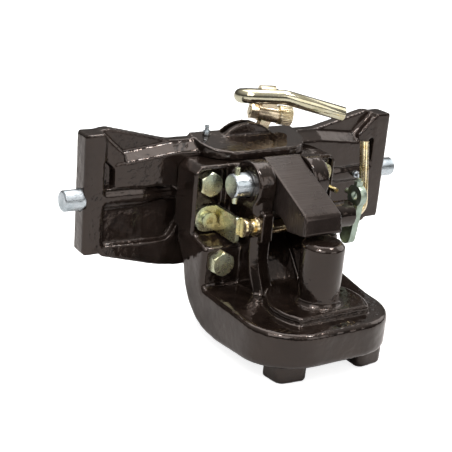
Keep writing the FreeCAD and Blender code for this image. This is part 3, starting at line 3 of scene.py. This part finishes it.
import json
import logging
import math
from collections.abc import Sequence
from dataclasses import dataclass, field
from enum import Enum

import bpy
from mathutils import Matrix, Vector


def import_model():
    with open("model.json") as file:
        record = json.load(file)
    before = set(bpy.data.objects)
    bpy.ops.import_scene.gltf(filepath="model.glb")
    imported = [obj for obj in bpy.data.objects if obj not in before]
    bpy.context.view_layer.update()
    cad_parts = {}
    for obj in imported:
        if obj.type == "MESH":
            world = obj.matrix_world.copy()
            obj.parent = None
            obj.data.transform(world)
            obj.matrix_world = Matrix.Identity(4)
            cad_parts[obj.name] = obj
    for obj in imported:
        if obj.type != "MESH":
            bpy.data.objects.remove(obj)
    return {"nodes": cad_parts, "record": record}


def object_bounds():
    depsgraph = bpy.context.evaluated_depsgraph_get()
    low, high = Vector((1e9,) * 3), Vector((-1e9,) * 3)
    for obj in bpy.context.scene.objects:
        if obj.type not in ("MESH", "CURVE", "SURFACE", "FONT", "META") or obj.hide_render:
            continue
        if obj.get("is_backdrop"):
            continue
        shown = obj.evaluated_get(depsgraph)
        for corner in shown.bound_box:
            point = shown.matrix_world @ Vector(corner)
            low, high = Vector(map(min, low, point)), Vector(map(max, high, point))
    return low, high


LOG = logging.getLogger("tow_hitch")
MM = 0.001
WHITE = (1.0, 1.0, 1.0, 1.0)

# A noise value is seldom outside these two.
NOISE_RANGE = (0.3, 0.7)
# Scratch pattern of plating that has no direction, per metre.
EVEN_GRAIN = Vector((300.0, 300.0, 300.0))
# Cast nodes; all others are machined.
ROUGH_NODES = ("carriage", "hook_body")
SMOOTH_NODES = ("coupling_pin", "keeper")
# Nodes with another finish than their slot's.
SHADES = {"release_lever": "green_zinc", "lever_eye_stop": "green_zinc", "lever_eye_screw": "green_zinc"}


class Skin(Enum):
    """How a CAD node's edges and faces are softened."""

    ROUGH_CAST = "rough_cast"
    SMOOTH_CAST = "smooth_cast"
    MACHINED = "machined"


class Nodes:
    """Short ways to add and join the nodes of one material."""

    def __init__(self, name: str) -> None:
        """Starts an empty node material.

        Args:
            name: The material's name.
        """
        self.material = bpy.data.materials.new(name)
        self.material.use_nodes = True
        self.tree = self.material.node_tree
        self.tree.nodes.clear()
        self.output = self.add("ShaderNodeOutputMaterial")
        self.place = self.add("ShaderNodeTexCoord")

    def add(self, kind: str, **values: object) -> bpy.types.Node:
        """Adds a node and sets its properties.

        Args:
            kind: The node's Blender type.
            values: Properties of the node by name.

        Returns:
            The new node.
        """
        node = self.tree.nodes.new(kind)
        for key, value in values.items():
            setattr(node, key, value)
        return node

    def join(self, start: bpy.types.NodeSocket, end: bpy.types.NodeSocket) -> None:
        """Links an output socket to an input socket.

        Args:
            start: The output socket.
            end: The input socket.
        """
        self.tree.links.new(start, end)

    def stretched(self, scale: Vector) -> bpy.types.NodeSocket:
        """Gives the object's own coordinates, stretched per axis.

        Args:
            scale: Factor along each axis, per metre.

        Returns:
            The vector socket of the mapping.
        """
        mapping = self.add("ShaderNodeMapping")
        mapping.inputs["Scale"].default_value = scale
        self.join(self.place.outputs["Object"], mapping.inputs["Vector"])
        return mapping.outputs["Vector"]

    def noise(
        self, scale: float, detail: float, vector: bpy.types.NodeSocket | None = None,
    ) -> bpy.types.NodeSocket:
        """Adds a noise texture.

        Args:
            scale: Lumps per metre, or per unit of the given vector.
            detail: Number of finer octaves.
            vector: Coordinates, or None for the object's own.

        Returns:
            The noise value's socket.
        """
        node = self.add("ShaderNodeTexNoise")
        node.inputs["Scale"].default_value = scale
        node.inputs["Detail"].default_value = detail
        self.join(vector or self.place.outputs["Object"], node.inputs["Vector"])
        return node.outputs["Fac"]

    def ramp(
        self, value: bpy.types.NodeSocket, stops: Sequence[tuple[float, tuple]],
    ) -> bpy.types.NodeSocket:
        """Maps a value to colours.

        Args:
            value: The value's socket.
            stops: Positions with their linear colours, in order.

        Returns:
            The colour socket.
        """
        node = self.add("ShaderNodeValToRGB")
        while len(node.color_ramp.elements) < len(stops):
            node.color_ramp.elements.new(0.5)
        for element, (position, colour) in zip(node.color_ramp.elements, stops):
            element.position = position
            element.color = (*colour, 1.0)
        self.join(value, node.inputs["Fac"])
        return node.outputs["Color"]

    def spread(self, value: bpy.types.NodeSocket, low: float, high: float) -> bpy.types.NodeSocket:
        """Maps the range that a noise value mostly has to another one.

        Args:
            value: The value's socket.
            low: Result at the noise's low end.
            high: Result at its high end.

        Returns:
            The mapped value's socket.
        """
        node = self.add("ShaderNodeMapRange")
        node.inputs["From Min"].default_value, node.inputs["From Max"].default_value = NOISE_RANGE
        node.inputs["To Min"].default_value = low
        node.inputs["To Max"].default_value = high
        self.join(value, node.inputs["Value"])
        return node.outputs["Result"]

    def step(self, front: float, width: float = 2.0 * MM) -> bpy.types.NodeSocket:
        """Gives 0 ahead of a plane across the object and 1 behind it.

        Args:
            front: The plane's Y in the object's own coordinates, in metres.
            width: Depth over which 0 becomes 1, in metres.

        Returns:
            The value's socket.
        """
        split = self.add("ShaderNodeSeparateXYZ")
        self.join(self.place.outputs["Object"], split.inputs["Vector"])
        node = self.add("ShaderNodeMapRange")
        node.inputs["From Min"].default_value = front
        node.inputs["From Max"].default_value = front + width
        self.join(split.outputs["Y"], node.inputs["Value"])
        return node.outputs["Result"]

    def bump(
        self, value: bpy.types.NodeSocket, height: float, below: bpy.types.NodeSocket | None = None,
    ) -> bpy.types.NodeSocket:
        """Adds a bump layer.

        Args:
            value: Height pattern.
            height: Its height in metres.
            below: Normal of the layer under it, if any.

        Returns:
            The normal's socket.
        """
        node = self.add("ShaderNodeBump")
        node.inputs["Strength"].default_value = 1.0
        node.inputs["Distance"].default_value = height
        self.join(value, node.inputs["Height"])
        if below is not None:
            self.join(below, node.inputs["Normal"])
        return node.outputs["Normal"]


@dataclass(frozen=True)
class GlossPaint:
    """Thick gloss paint over a cast or brushed surface.

    Scales are lumps per metre and heights are metres. Ahead of gloss_before, a Y in metres,
    the roughness is polish and no brush marks show.
    """

    name: str
    deep: tuple = (0.005, 0.0034, 0.0028)
    thin: tuple = (0.013, 0.0090, 0.0072)
    roughness: tuple = (0.06, 0.15)
    lump_height: float = 0.00080
    grain_height: float = 0.00060
    brush_height: float = 0.0
    coat: float = 0.42
    coat_roughness: float = 0.05
    coat_tint: tuple = (1.0, 0.87, 0.79, 1.0)
    shine_level: float = 0.42
    shine_tint: tuple = (1.0, 0.80, 0.70, 1.0)
    gloss_before: float = -1.0
    polish: float = 0.10
    lump_scale: float = 60.0
    grain_scale: float = 260.0
    stain_scale: float = 28.0
    stain_stops: tuple = (0.35, 0.66)
    patch_scale: float = 22.0
    patch_range: tuple = (-0.2, 1.4)
    brush_scale: Vector = field(default_factory=lambda: Vector((30.0, 700.0, 30.0)))

    def material(self) -> bpy.types.Material:
        """Builds the paint.

        Returns:
            The finished material.
        """
        nodes = Nodes(self.name)
        shader = nodes.add("ShaderNodeBsdfPrincipled")
        lumps = nodes.noise(self.lump_scale, 1.0)
        grain = nodes.noise(self.grain_scale, 2.0)
        stain = nodes.noise(self.stain_scale, 3.0)
        colour = nodes.ramp(stain, list(zip(self.stain_stops, (self.deep, self.thin))))
        nodes.join(colour, shader.inputs["Base Color"])
        rough = nodes.spread(stain, *self.roughness)
        behind = nodes.step(self.gloss_before)
        shine = nodes.add("ShaderNodeMapRange")
        shine.inputs["To Min"].default_value = self.polish
        nodes.join(behind, shine.inputs["Value"])
        nodes.join(rough, shine.inputs["To Max"])
        nodes.join(shine.outputs["Result"], shader.inputs["Roughness"])
        shader.inputs["Coat Weight"].default_value = self.coat
        shader.inputs["Coat Roughness"].default_value = self.coat_roughness
        shader.inputs["Coat Tint"].default_value = self.coat_tint
        shader.inputs["Specular IOR Level"].default_value = self.shine_level
        shader.inputs["Specular Tint"].default_value = self.shine_tint
        patch = nodes.add("ShaderNodeMath", operation="MULTIPLY")
        nodes.join(grain, patch.inputs[0])
        share = nodes.spread(nodes.noise(self.patch_scale, 2.0), *self.patch_range)
        nodes.join(share, patch.inputs[1])
        patch.use_clamp = True
        normal = nodes.bump(lumps, self.lump_height)
        normal = nodes.bump(patch.outputs["Value"], self.grain_height, normal)
        if self.brush_height:
            lines = nodes.noise(1.0, 3.0, nodes.stretched(self.brush_scale))
            brushed = nodes.add("ShaderNodeMath", operation="MULTIPLY")
            nodes.join(lines, brushed.inputs[0])
            nodes.join(behind, brushed.inputs[1])
            normal = nodes.bump(brushed.outputs["Value"], self.brush_height, normal)
        nodes.join(normal, shader.inputs["Normal"])
        nodes.join(shader.outputs["BSDF"], nodes.output.inputs["Surface"])
        return nodes.material


@dataclass(frozen=True)
class Plating:
    """Zinc, chrome, bronze or bare steel with cloudy tint and fine scratches."""

    name: str
    tones: tuple
    roughness: tuple = (0.20, 0.38)
    cloud_scale: float = 120.0
    cloud_stops: tuple = (0.32, 0.68)
    grain_scale: float = 700.0
    grain_height: float = 0.00008
    pit_share: float = 1.5
    line_scale: Vector = field(default_factory=lambda: Vector((160.0, 160.0, 1400.0)))

    def material(self) -> bpy.types.Material:
        """Builds the plated metal.

        Returns:
            The finished material.
        """
        nodes = Nodes(self.name)
        shader = nodes.add("ShaderNodeBsdfPrincipled")
        shader.inputs["Metallic"].default_value = 1.0
        cloud = nodes.noise(self.cloud_scale, 3.0)
        first, last = self.cloud_stops
        step = (last - first) / (len(self.tones) - 1)
        stops = [(first + step * i, tone) for i, tone in enumerate(self.tones)]
        nodes.join(nodes.ramp(cloud, stops), shader.inputs["Base Color"])
        lines = nodes.noise(1.0, 2.0, nodes.stretched(self.line_scale))
        nodes.join(nodes.spread(lines, *self.roughness), shader.inputs["Roughness"])
        grain = nodes.noise(self.grain_scale, 3.0)
        normal = nodes.bump(lines, self.grain_height)
        normal = nodes.bump(grain, self.grain_height * self.pit_share, normal)
        nodes.join(normal, shader.inputs["Normal"])
        nodes.join(shader.outputs["BSDF"], nodes.output.inputs["Surface"])
        return nodes.material


def finishes() -> dict[str, bpy.types.Material]:
    """Makes every finish of the hitch.

    Returns:
        Materials by the record's slot name.
    """
    kinds = (
        GlossPaint("black_paint"),
        GlossPaint("keeper_paint", deep=(0.009, 0.0066, 0.0058), thin=(0.019, 0.0144, 0.0130),
                   roughness=(0.24, 0.36), lump_height=0.00010, grain_height=0.00005,
                   brush_height=0.00042, coat=0.10, gloss_before=0.0052),
        Plating("clear_zinc", ((0.42, 0.47, 0.50), (0.60, 0.64, 0.67), (0.51, 0.56, 0.60)),
                roughness=(0.24, 0.36), cloud_scale=60.0, grain_height=0.00004),
        Plating("green_zinc", ((0.24, 0.29, 0.22), (0.40, 0.47, 0.40), (0.33, 0.38, 0.28)),
                roughness=(0.30, 0.44), cloud_scale=60.0, grain_height=0.00004),
        Plating("yellow_zinc",
                ((0.60, 0.54, 0.34), (0.68, 0.67, 0.44), (0.62, 0.66, 0.50), (0.70, 0.58, 0.46)),
                roughness=(0.24, 0.34), cloud_scale=32.0, grain_height=0.000012, line_scale=EVEN_GRAIN),
        Plating("olive_zinc",
                ((0.66, 0.50, 0.26), (0.74, 0.64, 0.44), (0.72, 0.58, 0.42), (0.66, 0.62, 0.42)),
                roughness=(0.24, 0.34), cloud_scale=32.0, grain_height=0.000012, line_scale=EVEN_GRAIN),
        Plating("gold_zinc", ((0.62, 0.44, 0.18), (0.84, 0.72, 0.46), (0.80, 0.64, 0.46)),
                roughness=(0.16, 0.28), grain_height=0.00004),
        Plating("cream_chrome", ((0.48, 0.43, 0.27), (0.64, 0.59, 0.43), (0.57, 0.54, 0.40)),
                roughness=(0.06, 0.16), cloud_scale=45.0, grain_height=0.00003,
                line_scale=Vector((25.0, 900.0, 900.0))),
        Plating("bronze_bush", ((0.38, 0.22, 0.08), (0.52, 0.34, 0.14)), roughness=(0.30, 0.45)),
        Plating("dark_steel", ((0.05, 0.045, 0.04), (0.13, 0.12, 0.11)), roughness=(0.32, 0.5)),
    )
    return {kind.name: kind.material() for kind in kinds}


@dataclass
class Casting:
    """Softening of cast and machined solids by modifiers."""

    weld_gap: float = 0.001 * MM
    voxel: float = 1.3 * MM
    smoothing: int = 7
    fine_smoothing: int = 2
    smooth_share: float = 0.5
    swell: float = 0.55 * MM
    swell_middle: float = 0.6
    lump: float = 9.0 * MM
    lump_depth: int = 2
    edge: float = 0.45 * MM
    edge_segments: int = 2
    edge_angle: float = math.radians(32)

    def break_edges(self, piece: bpy.types.Object) -> None:
        """Bevels the sharp edges of a machined piece.

        Args:
            piece: The CAD node's object.
        """
        bevel = piece.modifiers.new("bevel", "BEVEL")
        bevel.width = self.edge
        bevel.segments = self.edge_segments
        bevel.limit_method = "ANGLE"
        bevel.angle_limit = self.edge_angle
        bevel.harden_normals = True

    def roughen(self, piece: bpy.types.Object) -> None:
        """Swells the surface in shallow lumps, as sand casting leaves it.

        Args:
            piece: The CAD node's object.
        """
        cloud = bpy.data.textures.get("cast_lumps") or bpy.data.textures.new("cast_lumps", "CLOUDS")
        cloud.noise_scale = self.lump
        cloud.noise_depth = self.lump_depth
        displace = piece.modifiers.new("cast", "DISPLACE")
        displace.texture = cloud
        displace.texture_coords = "LOCAL"
        displace.strength = self.swell
        displace.mid_level = self.swell_middle

    def soften(self, piece: bpy.types.Object, skin: Skin) -> None:
        """Adds the modifiers that one skin needs.

        Args:
            piece: The CAD node's object.
            skin: How rough it is.
        """
        weld = piece.modifiers.new("weld", "WELD")
        weld.merge_threshold = self.weld_gap
        if skin is Skin.MACHINED:
            self.break_edges(piece)
            return
        remesh = piece.modifiers.new("remesh", "REMESH")
        remesh.mode = "VOXEL"
        remesh.voxel_size = self.voxel
        remesh.use_smooth_shade = True
        smooth = piece.modifiers.new("smooth", "SMOOTH")
        smooth.factor = self.smooth_share
        smooth.iterations = self.smoothing if skin is Skin.ROUGH_CAST else self.fine_smoothing
        if skin is Skin.ROUGH_CAST:
            self.roughen(piece)


@dataclass
class Ironwork:
    """Every CAD node with its finish and softened edges."""

    nodes: dict
    record: dict
    casting: Casting = field(default_factory=Casting)

    def skin_of(self, node: str) -> Skin:
        """Tells how a node's surface was made.

        Args:
            node: The node's name.

        Returns:
            Its skin.
        """
        if node in ROUGH_NODES:
            return Skin.ROUGH_CAST
        return Skin.SMOOTH_CAST if node in SMOOTH_NODES else Skin.MACHINED

    def dress(self, kinds: dict[str, bpy.types.Material]) -> None:
        """Gives each node its finish and its modifiers.

        Args:
            kinds: Materials by slot name.
        """
        for row in self.record["subparts"]:
            piece = self.nodes[row["node"]]
            finish = kinds[SHADES.get(row["node"], row["material_slot"])]
            for index in range(max(1, len(piece.material_slots))):
                if index >= len(piece.material_slots):
                    piece.data.materials.append(finish)
                piece.material_slots[index].material = finish
            skin = self.skin_of(row["node"])
            self.casting.soften(piece, skin)
            LOG.info("%s dressed as %s", row["node"], skin.value)


@dataclass(frozen=True)
class SoftBox:
    """Square lamp that points at the hitch; place and side in metres, power in watts."""

    name: str
    place: tuple
    side: float
    power: float


LAMPS = (
    SoftBox("key", (-1.4, -1.1, 1.7), 1.7, 22.0),
    SoftBox("front_fill", (0.8, -2.0, 1.0), 1.3, 9.0),
    SoftBox("top", (0.2, 0.6, 2.0), 2.0, 30.0),
    SoftBox("side", (1.8, 0.1, 1.0), 1.3, 8.0),
    SoftBox("spark_left", (-0.9, -0.5, 1.9), 0.30, 13.0),
    SoftBox("spark_right", (0.7, -0.6, 1.9), 0.30, 13.0),
)


@dataclass
class Studio:
    """White floor, soft lights and the photograph's camera."""

    floor_drop: float = 0.5 * MM
    floor_size: float = 12.0
    camera_place: Vector = field(default_factory=lambda: Vector((-0.6040, -0.7393, 0.4161)))
    camera_forward: Vector = field(default_factory=lambda: Vector((0.5164, 0.7852, -0.3418)))
    camera_up: Vector = field(default_factory=lambda: Vector((0.1135, 0.3329, 0.9361)))
    lens: float = 81.17
    room_levels: tuple = ((0.0, 0.14), (0.10, 0.08), (0.30, 0.14), (0.6, 0.45), (0.9, 0.80))
    room_tint: tuple = (1.0, 0.99, 0.97)
    paper_scale: float = 3.0
    paper: tuple = ((0.3, (0.58, 0.58, 0.58)), (0.7, (0.60, 0.60, 0.60)))
    shadow_lift: float = 0.82
    lamp_aim: Vector = field(default_factory=lambda: Vector((0.0, 0.06, 0.04)))
    nearest: float = 10.0 * MM

    def floor(self, low: float) -> None:
        """Lays the floor under the hitch.

        Args:
            low: Height of the hitch's lowest point.
        """
        mesh = bpy.data.meshes.new("floor")
        half = self.floor_size / 2
        z = low - self.floor_drop
        corners = [(-half, -half, z), (half, -half, z), (half, half, z), (-half, half, z)]
        mesh.from_pydata(corners, [], [(0, 1, 2, 3)])
        floor = bpy.data.objects.new("floor", mesh)
        bpy.context.scene.collection.objects.link(floor)
        nodes = Nodes("floor_paper")
        paper = nodes.add("ShaderNodeBsdfDiffuse")
        tone = nodes.ramp(nodes.noise(self.paper_scale, 2.0), self.paper)
        nodes.join(tone, paper.inputs["Color"])
        glow = nodes.add("ShaderNodeEmission")
        path = nodes.add("ShaderNodeLightPath")
        lift = nodes.add("ShaderNodeMath", operation="MULTIPLY")
        lift.inputs[1].default_value = self.shadow_lift
        nodes.join(path.outputs["Is Camera Ray"], lift.inputs[0])
        nodes.join(lift.outputs["Value"], glow.inputs["Strength"])
        both = nodes.add("ShaderNodeAddShader")
        nodes.join(paper.outputs["BSDF"], both.inputs[0])
        nodes.join(glow.outputs["Emission"], both.inputs[1])
        nodes.join(both.outputs["Shader"], nodes.output.inputs["Surface"])
        mesh.materials.append(nodes.material)
        floor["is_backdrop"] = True

    def world(self) -> None:
        """Makes a world that is white to the camera and a room that is lighter above to all else."""
        world = bpy.data.worlds.new("studio")
        bpy.context.scene.world = world
        world.use_nodes = True
        tree = world.node_tree
        background = tree.nodes["Background"]
        place = tree.nodes.new("ShaderNodeTexCoord")
        split = tree.nodes.new("ShaderNodeSeparateXYZ")
        room = tree.nodes.new("ShaderNodeValToRGB")
        for index, (height, level) in enumerate(self.room_levels):
            if index >= len(room.color_ramp.elements):
                room.color_ramp.elements.new(height)
            room.color_ramp.elements[index].position = height
            room.color_ramp.elements[index].color = (*(level * part for part in self.room_tint), 1.0)
        tree.links.new(place.outputs["Generated"], split.inputs["Vector"])
        tree.links.new(split.outputs["Z"], room.inputs["Fac"])
        path = tree.nodes.new("ShaderNodeLightPath")
        backdrop = tree.nodes.new("ShaderNodeMix")
        backdrop.data_type = "RGBA"
        backdrop.inputs["B"].default_value = WHITE
        tree.links.new(path.outputs["Is Camera Ray"], backdrop.inputs["Factor"])
        tree.links.new(room.outputs["Color"], backdrop.inputs["A"])
        tree.links.new(backdrop.outputs["Result"], background.inputs["Color"])

    def lamp(self, box: SoftBox) -> None:
        """Hangs a lamp and points it at the hitch.

        Args:
            box: The lamp's sizes.
        """
        light = bpy.data.lights.new(box.name, "AREA")
        light.shape = "SQUARE"
        light.size = box.side
        light.energy = box.power
        holder = bpy.data.objects.new(box.name, light)
        holder.location = box.place
        aim = self.lamp_aim - holder.location
        holder.rotation_euler = aim.to_track_quat("-Z", "Y").to_euler()
        bpy.context.scene.collection.objects.link(holder)

    def camera(self) -> None:
        """Sets the camera where the photograph was taken."""
        forward = self.camera_forward.normalized()
        right = forward.cross(self.camera_up).normalized()
        up = right.cross(forward)
        turn = Matrix((right, up, -forward)).transposed().to_4x4()
        data = bpy.data.cameras.new("camera")
        data.lens = self.lens
        data.clip_start = self.nearest
        camera = bpy.data.objects.new("camera", data)
        camera.matrix_world = Matrix.Translation(self.camera_place) @ turn
        bpy.context.scene.collection.objects.link(camera)
        bpy.context.scene.camera = camera

    def build(self, low: float) -> None:
        """Sets up floor, world, lamps and camera.

        Args:
            low: Height of the hitch's lowest point.
        """
        self.floor(low)
        self.world()
        for box in LAMPS:
            self.lamp(box)
        self.camera()
        bpy.context.scene.view_settings.view_transform = "Standard"


def main() -> None:
    """Builds the scene in order."""
    logging.basicConfig(level=logging.INFO)
    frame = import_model()
    cad_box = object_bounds()
    low = cad_box[0].z
    Studio().build(low)
    Ironwork(frame["nodes"], frame["record"]).dress(finishes())
    LOG.info("sizes written")


if __name__ == "__main__":
    main()
